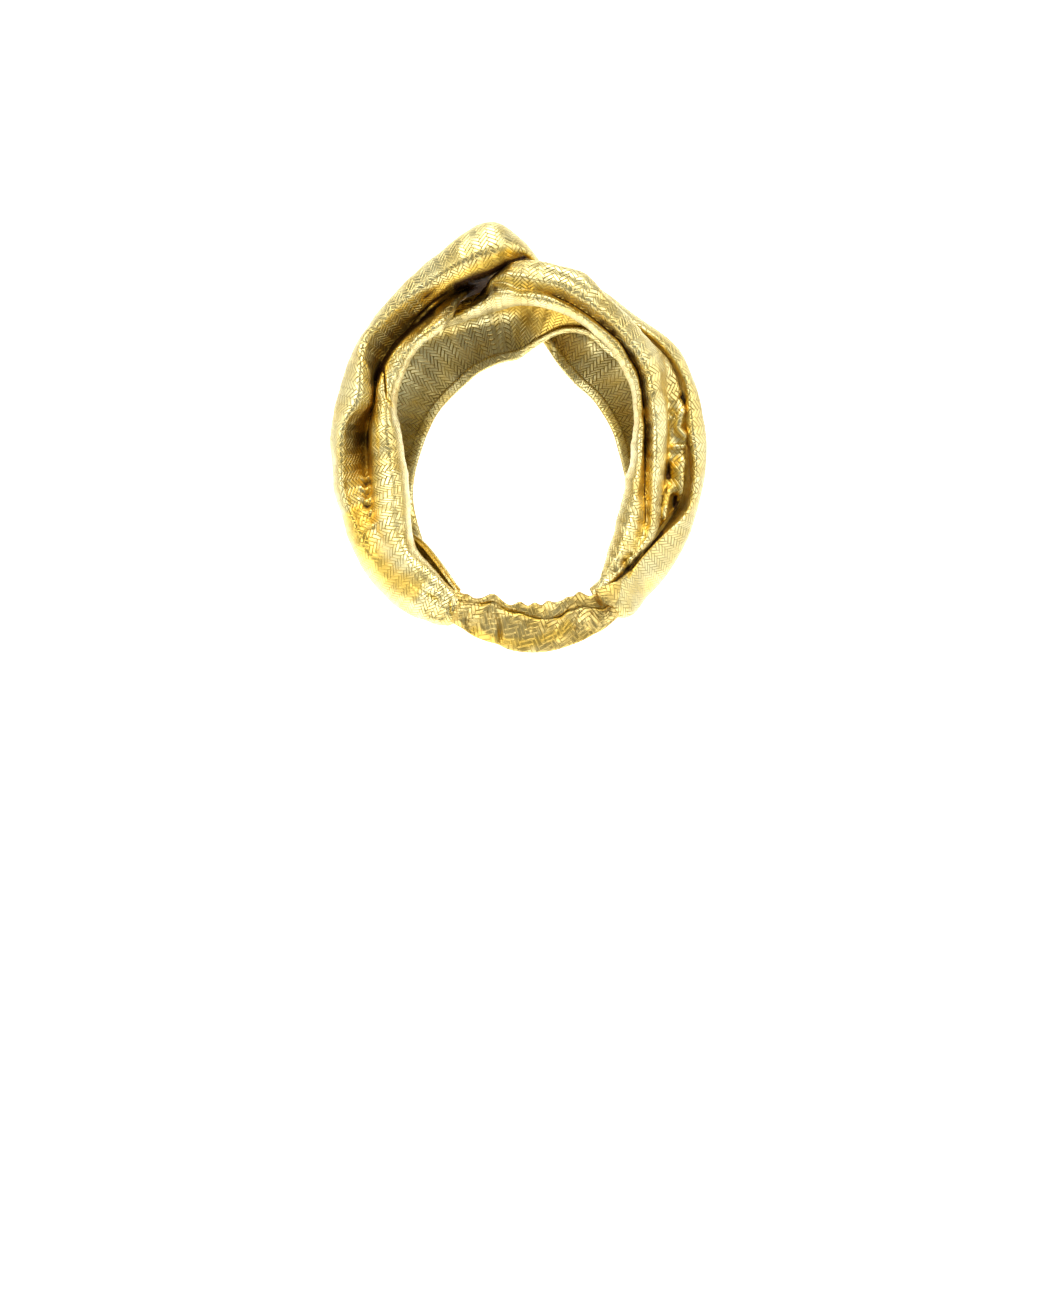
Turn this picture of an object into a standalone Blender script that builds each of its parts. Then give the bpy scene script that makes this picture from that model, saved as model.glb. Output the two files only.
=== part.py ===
# Turban headband of embossed gold cloth, in the form that it keeps when it is worn.
# Two wide wraps cross on top of the head, and a ruched elastic band joins them at the nape.
#
# Every soft piece is a loft through sections that stand in half planes around the head's front to back
# axis. Angle 0 points straight up and grows towards the wearer's right. A section point is a pair:
# radius from that axis, then depth towards the face. Both are in millimetres. The back is at -Y.
import math

import bmesh
import bpy
import numpy as np

MM = 0.001
CLOTH_WALL = 1.6             # mm, folded cloth with its lining
HEAD_CENTRE = (0.0, -45.0, -79.0)  # mm, from the seat on top of the head, which is the origin

# Where the stations of a wrap stand: first angle, last angle, steps between them.
LEFT_STEPS = (-158.5, -36.0, 16)
TOP_STEPS = (-36.0, 30.0, 12)
RIGHT_STEPS = (30.0, 150.0, 16)
CROSSING_CUT = -33.25        # angles where the under wrap's three lengths meet: below the over wrap
SIDE_CUT = 56.25             # and high on the right
CUT_HALF = 0.13              # half the angle left between two lengths, a gap of about 0.3 mm

# The wrap that crosses on top. One column for each fold line, from the hem that is tucked against
# the back of the head, over the outer roll, to the front edge.
OVER_FOLDS = ("hem", "tuck", "roll", "brow", "valley", "lip", "crest", "side", "dip", "swell", "front")
OVER_STEPS = (2, 2, 3, 3, 3, 2, 3, 3, 2, 3)  # faces between one fold line and the next
OVER_ROWS = [
    (-158.5, (102, -45), (100, -48.5), (101.5, -52.5), (105, -54.5), (108, -54),
     (111, -54.5), (115, -53.5), (119, -49.5), (118.5, -45), (116, -41), (111, -38.5)),
    (-149, (98, -30), (96, -37), (97, -45), (102, -48.5), (107, -47.5),
     (112, -46.5), (118, -43), (125, -33), (124.5, -23), (121, -13), (114, -8)),
    (-138, (94, -12), (92.5, -24), (94.5, -36), (99, -40), (105, -36.5),
     (111, -32), (118.5, -26), (127, -9), (126, 7), (122.5, 18), (115, 26)),
    (-118, (79, 8), (77.3, -6), (83, -21), (95, -20), (103, -10),
     (110.5, -12), (114.5, -15), (122, 2), (120, 19), (118.5, 30), (112, 38)),
    (-108, (75.5, 15), (73.7, -1), (80, -15.5), (92.5, -10), (98.5, 10),
     (110.5, -7), (114, -12), (120.3, 5), (117.5, 22), (116.5, 32), (110, 40)),
    (-97, (74.7, 20), (73, 3), (79.5, -10), (90, -3), (96, 25),
     (107, -3), (111.5, -9.5), (118.5, 7), (115, 24), (115, 34), (108.5, 41)),
    (-85, (77.5, 21), (76, 4), (81.5, -8), (90.5, -2), (95, 28),
     (104.5, -2), (109, -10), (117.3, 7), (114, 25), (114, 36), (107.5, 43)),
    (-76, (80.5, 22), (79.8, 6), (84, -6), (92.3, -1), (94.5, 26),
     (96.5, -1), (103.5, -10.5), (116.5, 8), (113.3, 26), (113.5, 37), (106.7, 44.3)),
    (-66, (83.5, 24), (83.3, 10), (87, -2), (94.7, 2), (98, 26),
     (101.5, 1), (107.5, -8), (116.7, 8.5), (113.7, 26), (113.8, 38), (106.7, 46.5)),
    (-58, (85, 25), (84.7, 12), (87.8, 2), (94.5, 8), (99.5, 31),
     (109.5, 4), (113.7, -3.5), (117.7, 9), (115.3, 26), (115.5, 38.5), (107.2, 48.3)),
    (-48, (87.5, 28), (86.8, 14), (89.3, 5), (94, 11), (99, 37),
     (107.5, 9), (113, -1), (119, 10), (117.5, 26), (117.5, 39), (108, 51)),
    (-30, (88.5, 27), (87.5, 19), (89.5, 11), (93, 15), (100, 42),
     (106.8, 14), (114, 4), (123.5, 15), (124, 29), (120, 46), (98, 66.5)),
    (-22, (98, 53), (98, 46), (98, 39), (99.3, 34), (103, 45),
     (107, 15), (115.5, 5), (127.5, 16.5), (128, 33), (122, 53), (93.7, 72)),
    (-15, (100.5, 68), (101, 63), (102, 59), (103.3, 54), (105, 46),
     (107.5, 17), (117, 7), (133.5, 19), (134, 37), (126, 58), (93, 76.5)),
    (-6, (105, 72), (104.7, 66), (105, 60), (106.3, 54), (109, 43),
     (111, 19), (120, 12), (137, 24), (137, 43), (127, 64), (92, 81)),
    (1, (108, 73), (108, 67), (108.7, 61), (110, 54), (113, 45),
     (117.3, 29), (120.3, 23), (126.3, 32), (125, 50), (115, 70), (87, 85)),
    (8, (98, 71), (99, 63), (100.3, 55), (102, 48), (104, 42),
     (106.5, 36.5), (109, 32), (112, 40), (110.5, 58), (100, 76), (76, 86)),
    (22, (88, 72), (92.5, 63), (95.5, 55), (98, 48), (100, 42),
     (102.3, 36.5), (105.3, 32), (109.5, 40), (107.5, 58), (87, 79), (61, 76)),
    (44, (86, 66), (90, 57.5), (94, 49), (96.5, 41.5), (98.5, 35.5),
     (101, 29.5), (104.2, 25), (108.4, 33), (106, 51), (83, 75), (54, 76)),
    (62, (92, 57), (96.5, 52), (100.5, 45.5), (103.5, 38.5), (105.7, 31),
     (107.3, 24), (111, 18), (116.5, 27), (113.5, 44), (90, 68), (57, 69)),
    (72, (94, 56), (98.5, 51), (102, 45), (105, 38), (107.3, 30.5),
     (109, 22.5), (112, 16), (117.3, 25), (114.5, 42), (91.5, 65), (59, 65)),
    (85, (96, 54), (100.5, 49), (104, 42.5), (106.3, 35), (107.2, 27),
     (106, 19.5), (109.5, 11.5), (118, 22), (115.5, 39), (94.5, 60), (63, 59)),
    (97, (98, 50), (102.5, 44), (105.5, 37), (107.7, 30), (109.2, 23),
     (110, 16), (112.7, 9.5), (119, 19), (116.5, 36), (98, 57), (67, 54)),
    (112, (101.5, 43), (105.5, 35.5), (108.5, 27.5), (110.7, 19.5), (112, 12),
     (112.7, 5), (115.3, -0.5), (120.5, 11), (119, 29), (105, 49), (77, 51)),
    (126, (107, 31), (108, 22), (108, 12), (107.3, 3), (106.3, -5),
     (105.3, -13), (106, -20), (122.5, -3), (122.5, 16), (114, 35), (92, 42)),
    (140, (112, -4), (111, -11), (109.3, -18), (107.7, -25), (106, -31.5),
     (104.3, -38), (104.8, -43.5), (123.3, -20), (123.3, -4), (118.5, 9), (107, 17)),
    (150, (113.5, -37), (112, -41), (110.5, -44.5), (108.8, -47.5), (107.2, -50.5),
     (105.8, -53.5), (107, -57), (121.5, -50), (121.5, -44.5), (119, -39.5), (115, -35)),
]

# The wrap that passes below the crossing, from its hem against the head to its front edge.
UNDER_FOLDS = ("hem", "tuck", "roll", "crease", "ridge", "brow", "facet", "pocket", "swell", "front")
UNDER_STEPS = (2, 2, 2, 2, 2, 3, 3, 3, 4)
UNDER_ROWS = [
    (-158.5, (97.6, -46), (98, -44), (100.5, -42.3), (104.5, -43), (108, -45),
     (111.5, -47.5), (114.5, -47.5), (115, -46), (113, -44), (109, -43.3)),
    (-149, (92.5, -32), (92.7, -27), (96, -23), (101, -22), (106, -23),
     (111, -25), (114.5, -24), (115, -20), (111.5, -13), (103, -9)),
    (-140, (89.5, -14), (90, -8), (94, -3.5), (99, -3), (104, -4),
     (109, -4.5), (113.5, -3), (115, 1), (111, 9), (94, 16)),
    (-118, (97, 22), (98, 15), (101, 9), (104, 6), (107, 5.5),
     (109.5, 8), (111.3, 14), (111.5, 22), (104, 39), (80, 46)),
    (-97, (95.5, 48), (96.7, 43), (98.5, 39), (100.8, 36.5), (103, 35.5),
     (104.8, 37), (105.6, 41), (105, 46), (95, 58), (66, 54)),
    (-72, (92, 54), (93.2, 49.5), (95, 46), (97.3, 43.5), (99.7, 43),
     (101.7, 44.5), (102.8, 49), (102, 54), (91, 66), (58, 68)),
    (-45, (91, 58), (92.7, 53), (95.7, 49.5), (98.7, 47.5), (101.7, 47),
     (104.3, 49), (105, 53.5), (104, 58), (89, 73), (53, 78.5)),
    (-30, (85.5, 49), (86.7, 43), (89, 39), (91.3, 41.5), (93, 46),
     (94.5, 51.5), (95, 57.5), (94, 63), (83, 79), (53.5, 80.5)),
    (-22, (84, 44), (85.5, 35), (88.3, 30), (90, 34.5), (90.7, 42),
     (91.5, 49), (91.5, 56), (90.5, 63), (81.5, 81), (53.5, 81)),
    (-15, (84, 42), (86.5, 31), (90, 25), (92.7, 30), (94.7, 37),
     (96.5, 45), (96.5, 53), (94.5, 61), (81.5, 81), (54, 82)),
    (-8, (84.5, 42), (87.5, 28), (93.3, 18), (100.8, 23.5), (103.3, 20.5),
     (105.7, 24.5), (103.7, 34), (98.5, 48), (81, 79), (54.5, 82.5)),
    (0, (86, 32), (86.5, 19), (90.7, 11), (95.3, 17), (102.5, 11.5),
     (111.8, 18), (108, 30), (99, 45), (82, 73), (56, 82.5)),
    (5, (86, 28), (86.3, 16), (90.3, 8.5), (94.4, 14), (101, 8),
     (112.3, 15), (107.5, 26.5), (98.5, 41), (83.5, 66), (60, 80)),
    (12, (86, 26), (86, 14), (89.5, 6), (93.3, 12), (101, 4),
     (111.5, 11), (108, 21.5), (98, 35), (85, 57), (67, 74)),
    (21, (85, 25), (85, 13), (88, 4), (91.3, 9.5), (99, 1.5),
     (111, 10), (109.7, 19), (100, 29.5), (88, 46), (77, 62)),
    (31, (83.5, 24), (83, 12), (86, 3), (89.2, 8), (95.5, 0),
     (104, 7), (105.3, 14.5), (99.5, 24), (90.5, 38), (83, 52)),
    (45, (82, 24), (81.5, 11), (84.5, 1), (88, 6), (93, -2),
     (97.5, 3), (102, 13), (98, 22), (90, 35), (83, 47)),
    (60, (80, 24), (79.3, 9), (82.3, -1), (85.8, 5), (91, -4),
     (97, 0), (107, 11), (104.5, 22), (95.5, 34), (87, 43)),
    (77, (75.5, 23), (74.5, 7), (77.3, -4), (80.2, 3), (86, -7),
     (92.3, -1), (101, 12), (104, 22), (97, 35), (88, 43)),
    (96, (73, 20), (71.7, 3), (75.5, -9), (79, 0), (85, -10),
     (91.2, -3), (96, 11), (104, 21), (98.5, 36), (90, 43)),
    (112, (73.5, 12), (72.3, -6), (77.5, -19), (84, -10), (89.5, -18),
     (95.3, -9), (99, 2), (106, 13), (101, 28), (94, 36)),
    (126, (79, -4), (77.5, -19), (85.5, -31), (95, -23), (98.5, -27.5),
     (101.2, -22), (102, -12), (102.7, -2), (102.5, 10), (98, 20)),
    (140, (87, -24), (85.7, -35), (91.5, -44), (97, -41), (99.2, -43),
     (101, -39.5), (101.6, -33.5), (102.6, -26.5), (104.3, -18), (104.5, -9)),
    (150, (98, -43.5), (97, -47), (98, -51), (100, -53.7), (101.7, -54.2),
     (102.7, -51.7), (103.4, -48.3), (104.5, -44.8), (106.5, -41.3), (109, -38.5)),
]

# The nape band: a gathered casing under a ruffle heading, with one stitched line between them.
BAND_COLUMNS = ("angle", "top", "stitch", "bottom", "depth")
BAND_ROWS = [
    (-159.0, 98.0, 102.5, 118.5, -53.5),
    (-165.0, 96.7, 101.0, 120.0, -57.0),
    (-172.0, 97.0, 102.0, 123.5, -60.0),
    (-180.0, 99.0, 104.0, 126.5, -61.5),
    (-188.0, 99.0, 106.0, 127.5, -61.0),
    (-195.0, 98.5, 107.0, 126.0, -59.5),
    (-204.0, 99.5, 109.0, 124.0, -56.0),
    (-209.3, 100.5, 109.0, 121.5, -54.0),
]
BAND_STATIONS = 53
CASING_PUFF = 2.7            # mm, how far the casing bulges each way from the band's middle
HEADING_PUFF = 1.3           # mm, half the thickness of the ruffle heading
STITCH_HALF = 0.9            # mm, half the thickness where the stitch pulls the cloth in
GATHER_PITCH = 9.0           # mm along the nape from one gather to the next
GATHER_DEPTH = 0.8           # mm
RUFFLE_PITCH = 13.0          # mm
RUFFLE_WAVE = 1.2            # mm
CASING_STEPS = 5             # faces over each side of the casing


def smooth(x, y, at):
    """Cubic curve through the rows of y at x, read at the values in at."""
    slope = np.diff(y, axis=0) / np.diff(x)[:, None]
    width = np.diff(x)
    tangent = np.empty_like(y)
    tangent[1:-1] = (slope[:-1] * width[1:, None] + slope[1:] * width[:-1, None])
    tangent[1:-1] /= (width[1:] + width[:-1])[:, None]
    tangent[0], tangent[-1] = slope[0], slope[-1]
    i = np.clip(np.searchsorted(x, at, side="right") - 1, 0, len(x) - 2)
    t = ((at - x[i]) / width[i])[:, None]
    h = width[i][:, None]
    start = (2 * t**3 - 3 * t**2 + 1) * y[i] + (t**3 - 2 * t**2 + t) * h * tangent[i]
    end = (3 * t**2 - 2 * t**3) * y[i + 1] + (t**3 - t**2) * h * tangent[i + 1]
    return start + end


def section_curve(folds, steps):
    """The curve of one section through its fold points, with the given faces in each span."""
    chord = np.linalg.norm(np.diff(folds, axis=0), axis=1)
    x = np.concatenate([[0.0], np.cumsum(np.sqrt(chord))])
    spans = [np.linspace(x[k], x[k + 1], count, endpoint=False) for k, count in enumerate(steps)]
    return smooth(x, folds, np.concatenate(spans + [x[-1:]]))


def station_angles(first, last):
    """Angles of the stations from first to last, closest together where the wraps cross."""
    runs = [np.linspace(a, b, n, endpoint=False) for a, b, n in (LEFT_STEPS, TOP_STEPS, RIGHT_STEPS)]
    angles = np.concatenate(runs)
    inside = (angles > first + 0.5) & (angles < last - 0.5)
    return np.concatenate([[first], angles[inside], [last]])


def place(angle, radius, depth):
    """Point of the row frame, in metres."""
    turn = math.radians(angle)
    x = HEAD_CENTRE[0] + radius * math.sin(turn)
    y = HEAD_CENTRE[1] + depth
    z = HEAD_CENTRE[2] + radius * math.cos(turn)
    return (x * MM, y * MM, z * MM)


def add_object(name, points, faces):
    """Mesh object with outward normals."""
    mesh = bpy.data.meshes.new(name)
    mesh.from_pydata(points, [], faces)
    shell = bmesh.new()
    shell.from_mesh(mesh)
    bmesh.ops.recalc_face_normals(shell, faces=shell.faces)
    shell.to_mesh(mesh)
    shell.free()
    thing = bpy.data.objects.new(name, mesh)
    bpy.context.scene.collection.objects.link(thing)
    return thing


def add_cloth(thing, colour, roughness):
    """Metallic cloth finish of its own for one piece."""
    material = bpy.data.materials.new(thing.name + "_cloth")
    material.use_nodes = True
    shader = material.node_tree.nodes["Principled BSDF"]
    shader.inputs["Base Color"].default_value = (*colour, 1.0)
    shader.inputs["Metallic"].default_value = 0.8
    shader.inputs["Roughness"].default_value = roughness
    thing.data.materials.append(material)


def build_wrap(name, rows, steps, first, last):
    """Open sheet lofted through the rows of sections, then thickened to the cloth wall."""
    row_angles = np.array([row[0] for row in rows], float)
    row_folds = np.array([row[1:] for row in rows], float)
    angles = station_angles(first, last)
    flat = smooth(row_angles, row_folds.reshape(len(rows), -1), angles)
    points = []
    for angle, folds in zip(angles, flat.reshape(len(angles), -1, 2)):
        points += [place(angle, radius, depth) for radius, depth in section_curve(folds, steps)]
    across = sum(steps) + 1
    faces = []
    for station in range(len(angles) - 1):
        for k in range(across - 1):
            a = station * across + k
            faces.append((a, a + 1, a + across + 1, a + across))
    wrap = add_object(name, points, faces)
    wall = wrap.modifiers.new("cloth_wall", "SOLIDIFY")
    wall.thickness = CLOTH_WALL * MM
    wall.offset = 0.0
    wall.use_quality_normals = True
    return wrap


def band_section(angle, along, row):
    """Closed outline of the nape band at one station: up the outside, then back down the inside."""
    top, stitch, bottom, depth = row
    gather = GATHER_DEPTH * math.sin(2 * math.pi * along / GATHER_PITCH + 0.8 * math.sin(along / 17))
    ruffle = RUFFLE_WAVE * math.sin(2 * math.pi * along / RUFFLE_PITCH)
    lift = 0.5 * RUFFLE_WAVE * math.sin(2 * math.pi * along / RUFFLE_PITCH + 1.3)
    casing = [(k + 0.5) / CASING_STEPS for k in range(CASING_STEPS)]
    outside = [(top + lift, depth + ruffle - 0.5 * HEADING_PUFF),
               (0.5 * (top + stitch), depth + 0.5 * ruffle - HEADING_PUFF),
               (stitch, depth - STITCH_HALF)]
    outside += [(stitch + k * (bottom - stitch), depth - (CASING_PUFF + gather) * math.sin(math.pi * k))
                for k in casing]
    outside += [(bottom, depth)]
    inside = [(stitch + k * (bottom - stitch), depth + CASING_PUFF * math.sin(math.pi * k))
              for k in reversed(casing)]
    inside += [(stitch, depth + STITCH_HALF),
               (0.5 * (top + stitch), depth + 0.5 * ruffle + HEADING_PUFF),
               (top + lift, depth + ruffle + 0.5 * HEADING_PUFF)]
    return [place(angle, radius, y) for radius, y in outside + inside]


def build_band(name):
    """Closed loft of the nape band with its gathers and ruffle."""
    table = np.array(BAND_ROWS, float)
    order = -table[:, 0]
    angles = np.linspace(order[0], order[-1], BAND_STATIONS)
    rows = smooth(order, table[:, 1:], angles)
    middle = 0.5 * (rows[:, 1] + rows[:, 2])
    along = np.concatenate([[0.0], np.cumsum(np.radians(np.diff(angles)) * middle[1:])])
    sections = [band_section(-a, s, row) for a, s, row in zip(angles, along, rows)]
    around = len(sections[0])
    faces = [tuple(range(around)), tuple(range((BAND_STATIONS - 1) * around, BAND_STATIONS * around))]
    for station in range(BAND_STATIONS - 1):
        for k in range(around):
            a = station * around + k
            b = station * around + (k + 1) % around
            faces.append((a, b, b + around, a + around))
    return add_object(name, [point for section in sections for point in section], faces)


def main():
    for old in list(bpy.data.objects):
        bpy.data.objects.remove(old, do_unlink=True)
    start, end = LEFT_STEPS[0], RIGHT_STEPS[1]
    over = build_wrap("over_wrap", OVER_ROWS, OVER_STEPS, start, end)
    lengths = (("under_wrap_left", start, CROSSING_CUT - CUT_HALF),
               ("under_wrap_top", CROSSING_CUT + CUT_HALF, SIDE_CUT - CUT_HALF),
               ("under_wrap_right", SIDE_CUT + CUT_HALF, end))
    for name, first, last in lengths:
        under = build_wrap(name, UNDER_ROWS, UNDER_STEPS, first, last)
        add_cloth(under, (0.74, 0.56, 0.25), 0.40)
    band = build_band("nape_band")
    add_cloth(over, (0.80, 0.62, 0.28), 0.38)
    add_cloth(band, (0.78, 0.59, 0.27), 0.42)


main()
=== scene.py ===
# Turban headband: the looks of the gold cloth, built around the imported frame
import math

import bpy
import numpy as np
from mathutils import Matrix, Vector
from mathutils.bvhtree import BVHTree


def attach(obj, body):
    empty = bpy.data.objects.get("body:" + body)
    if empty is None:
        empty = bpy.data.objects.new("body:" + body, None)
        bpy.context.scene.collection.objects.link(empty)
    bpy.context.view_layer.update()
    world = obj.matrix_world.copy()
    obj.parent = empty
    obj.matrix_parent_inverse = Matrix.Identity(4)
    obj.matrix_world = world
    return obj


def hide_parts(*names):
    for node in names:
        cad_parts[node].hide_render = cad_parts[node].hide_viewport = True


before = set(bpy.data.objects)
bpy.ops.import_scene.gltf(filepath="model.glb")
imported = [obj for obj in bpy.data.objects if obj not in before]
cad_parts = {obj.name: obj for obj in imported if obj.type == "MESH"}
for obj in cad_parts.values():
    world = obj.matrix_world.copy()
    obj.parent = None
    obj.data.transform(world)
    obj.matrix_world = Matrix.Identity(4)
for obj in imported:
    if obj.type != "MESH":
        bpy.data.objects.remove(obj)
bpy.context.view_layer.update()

mm = 0.001
headCentre = np.array((0.0, -45.0, -79.0))  # mm, in the row frame
viewDistance = 1200.0  # mm, from the camera to the middle of the head
hemTurns, hemFlats = 5, 3  # points round a folded hem and back along it


def ramp(x, low, high):  # smooth from 0 at low to 1 at high
    t = np.clip((x - low) / (high - low), 0, 1)
    return t * t * (3 - 2 * t)


def smoothRows(x, y, at):  # cubic through the rows of y at x
    slope = np.diff(y, axis=0) / np.diff(x)[:, None]
    width = np.diff(x)
    tangent = np.empty_like(y)
    tangent[1:-1] = slope[:-1] * width[1:, None] + slope[1:] * width[:-1, None]
    tangent[1:-1] /= (width[1:] + width[:-1])[:, None]
    tangent[0], tangent[-1] = slope[0], slope[-1]
    i = np.clip(np.searchsorted(x, at, side="right") - 1, 0, len(x) - 2)
    t = ((at - x[i]) / width[i])[:, None]
    h = width[i][:, None]
    start = (2 * t**3 - 3 * t**2 + 1) * y[i] + (t**3 - 2 * t**2 + t) * h * tangent[i]
    return start + (3 * t**2 - 2 * t**3) * y[i + 1] + (t**3 - t**2) * h * tangent[i + 1]


def sectionCurve(folds, steps):
    chord = np.linalg.norm(np.diff(folds, axis=0), axis=1)
    x = np.concatenate([[0.0], np.cumsum(np.sqrt(chord))])
    spans = [np.linspace(x[k], x[k + 1], n, endpoint=False) for k, n in enumerate(steps)]
    return smoothRows(x, folds, np.concatenate(spans + [x[-1:]]))


def hemTurn(end, before, radius, back):  # a hem folded in to the left of the cloth
    along = (end - before) / np.linalg.norm(end - before)
    side = np.array((-along[1], along[0]))
    turn = np.linspace(0, math.pi, hemTurns + 1)[1:]
    points = [end + radius * (1 - math.cos(a)) * side + radius * math.sin(a) * along for a in turn]
    points += [points[-1] - along * d for d in np.linspace(0, back, hemFlats + 1)[1:]]
    return points


def toHead(angles, radius, depth):  # mm about the middle of the head
    turn = np.radians(angles)
    return np.stack([radius * np.sin(turn), depth + 0 * turn, radius * np.cos(turn)], -1)


def gridNormals(grid):  # on the side of the cloth that shows
    normal = np.cross(np.gradient(grid, axis=0), np.gradient(grid, axis=1))
    return normal / np.maximum(np.linalg.norm(normal, axis=-1, keepdims=True), 1e-9)


def runs(grid, axis):  # arc length from the first row or column, in mm
    step = np.linalg.norm(np.diff(grid, axis=axis), axis=-1)
    start = np.zeros_like(step[:1] if axis == 0 else step[:, :1])
    return np.concatenate([start, np.cumsum(step, axis=axis)], axis=axis)


def gridFaces(rows, cols, closed):
    i, j = np.meshgrid(np.arange(rows - 1), np.arange(cols if closed else cols - 1), indexing="ij")
    nextJ = (j + 1) % cols
    corners = [i * cols + j, i * cols + nextJ, (i + 1) * cols + nextJ, (i + 1) * cols + j]
    return np.stack(corners, -1).reshape(-1, 4)


def gridMesh(name, grid, u, v, shade, closed=False):
    # grid in mm about the head, u and v in mm of cloth, closed where each row is a ring
    rows, cols = grid.shape[:2]
    points = (grid.reshape(-1, 3) + headCentre) * mm
    quads = gridFaces(rows, cols, closed)
    mesh = bpy.data.meshes.new(name)
    mesh.from_pydata(points.tolist(), [], quads.tolist())
    layer = mesh.uv_layers.new(name="clothUV")
    corner = quads.reshape(-1)
    uv = np.stack([u.reshape(-1)[corner], v.reshape(-1)[corner]], -1) * mm
    if closed:  # the last face of each ring ends one whole way round
        ringEnd = v.max() + np.linalg.norm(grid[:, 0] - grid[:, -1], axis=-1).mean()
        last = np.tile(np.arange(cols) == cols - 1, rows - 1)
        wrap = np.repeat(last, 4) & np.tile([False, True, True, False], len(quads))
        uv[wrap, 1] = ringEnd * mm
    layer.data.foreach_set("uv", uv.astype(np.float32).ravel())
    # the painted shade of the folds, which the gold cloth turns into colour
    foldShadeLevel = mesh.attributes.new("foldShade", "FLOAT", "POINT")
    foldShadeLevel.data.foreach_set("value", shade.astype(np.float32).ravel())
    mesh.polygons.foreach_set("use_smooth", np.ones(len(quads), bool))
    mesh.update()
    piece = bpy.data.objects.new(name, mesh)
    bpy.context.scene.collection.objects.link(piece)
    return piece


def seenAt(grid):  # where the camera sees each point, in mm on the plane through the head's middle
    return grid[..., [0, 2]] / (1 + grid[..., 1:2] / viewDistance)


strokeEnds = {"start": 0.6, "taper": 6.0, "taperShare": 0.35, "foldSoft": 0.4}  # mm, mm, of its length, folds


def strokeLift(seen, fold, strokes):
    # each stroke: first and last fold, height, width and reach in mm, then its points in the rear view.
    # with a reach it is a ledge that falls off slowly on the left of its way, else a ridge or a crease
    begin, soft = strokeEnds["start"], strokeEnds["foldSoft"]
    lift = np.zeros(seen.shape[:-1])
    for (first, last), height, width, reach, *points in strokes:
        points = np.array(points, float)
        near, side, along = np.full(lift.shape, 1e9), np.zeros(lift.shape), np.zeros(lift.shape)
        run = 0.0
        for start, end in zip(points, points[1:]):
            way = end - start
            share = np.clip(((seen - start) @ way) / (way @ way), 0, 1)
            offset = seen - start - share[..., None] * way
            gap = np.linalg.norm(offset, axis=-1)
            closer = gap < near
            near = np.where(closer, gap, near)
            turn = way[0] * offset[..., 1] - way[1] * offset[..., 0]
            side = np.where(closer, np.sign(turn) * gap, side)
            along = np.where(closer, run + share * np.linalg.norm(way), along)
            run += np.linalg.norm(way)
        taper = min(strokeEnds["taper"], strokeEnds["taperShare"] * run)
        ends = ramp(along, -begin, taper) * ramp(run - along, -begin, taper)
        if reach:
            shape = ramp(side, -width, width) * np.exp(-np.maximum(side, 0) / reach)
            shape = shape * (near < 6 * reach)
        else:
            shape = np.exp(-(near / width) ** 2)
        band = ramp(fold, first - soft, first) * ramp(-fold, -last - soft, -last)
        lift += height * shape * ends * band[None]
    return lift


def shadeInFolds(grids, step=2, rays=20, start=1.5, near=6.0, reach=42.0):
    # how closed in each point is, 0 in the open to 1 deep in a fold, by rays over its open side (mm)
    vertices, faces = [], []
    for grid, closed in grids:
        faces += (gridFaces(*grid.shape[:2], closed) + len(vertices)).tolist()
        vertices += grid.reshape(-1, 3).tolist()
    tree = BVHTree.FromPolygons(vertices, faces)
    golden = math.pi * (3 - math.sqrt(5))
    height = np.sqrt((np.arange(rays) + 0.5) / rays)
    flat = np.sqrt(1 - height**2)
    turn = golden * np.arange(rays)
    shades = []
    for grid, closed in grids:
        rows, cols = np.arange(0, grid.shape[0], step), np.arange(0, grid.shape[1], step)
        point = grid[np.ix_(rows, cols)].reshape(-1, 3)
        normal = gridNormals(grid)[np.ix_(rows, cols)].reshape(-1, 3)
        other = np.where(np.abs(normal[:, :1]) < 0.8, [[1.0, 0, 0]], [[0, 1.0, 0]])
        first = np.cross(normal, other)
        first /= np.linalg.norm(first, axis=-1, keepdims=True)
        second = np.cross(normal, first)
        foldShadeLevel = np.zeros(len(point))
        origin = point + normal * start
        for k in range(rays):
            way = normal * height[k] + first * flat[k] * math.cos(turn[k])
            way += second * flat[k] * math.sin(turn[k])
            rayPairs = zip(origin.tolist(), way.tolist())
            hits = [tree.ray_cast(Vector(a), Vector(d), reach)[3] for a, d in rayPairs]
            distance = np.array([reach if hit is None else hit for hit in hits])
            foldShadeLevel += 1 - ramp(distance, near, reach)
        small = (foldShadeLevel / rays).reshape(len(rows), len(cols))
        down = np.stack([np.interp(np.arange(grid.shape[0]), rows, column) for column in small.T], 1)
        shades.append(np.stack([np.interp(np.arange(grid.shape[1]), cols, row) for row in down]))
    return shades


def softNoise(shape, cells, seed):  # smooth random field of about +-1
    local = np.random.default_rng(seed)
    coarse = local.normal(size=(cells[0] + 3, cells[1] + 3))
    x = np.linspace(1, cells[0] + 1, shape[0])
    y = np.linspace(1, cells[1] + 1, shape[1])
    down = smoothRows(np.arange(cells[0] + 3.0), coarse, x)
    return smoothRows(np.arange(cells[1] + 3.0), down.T.copy(), y).T


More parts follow.
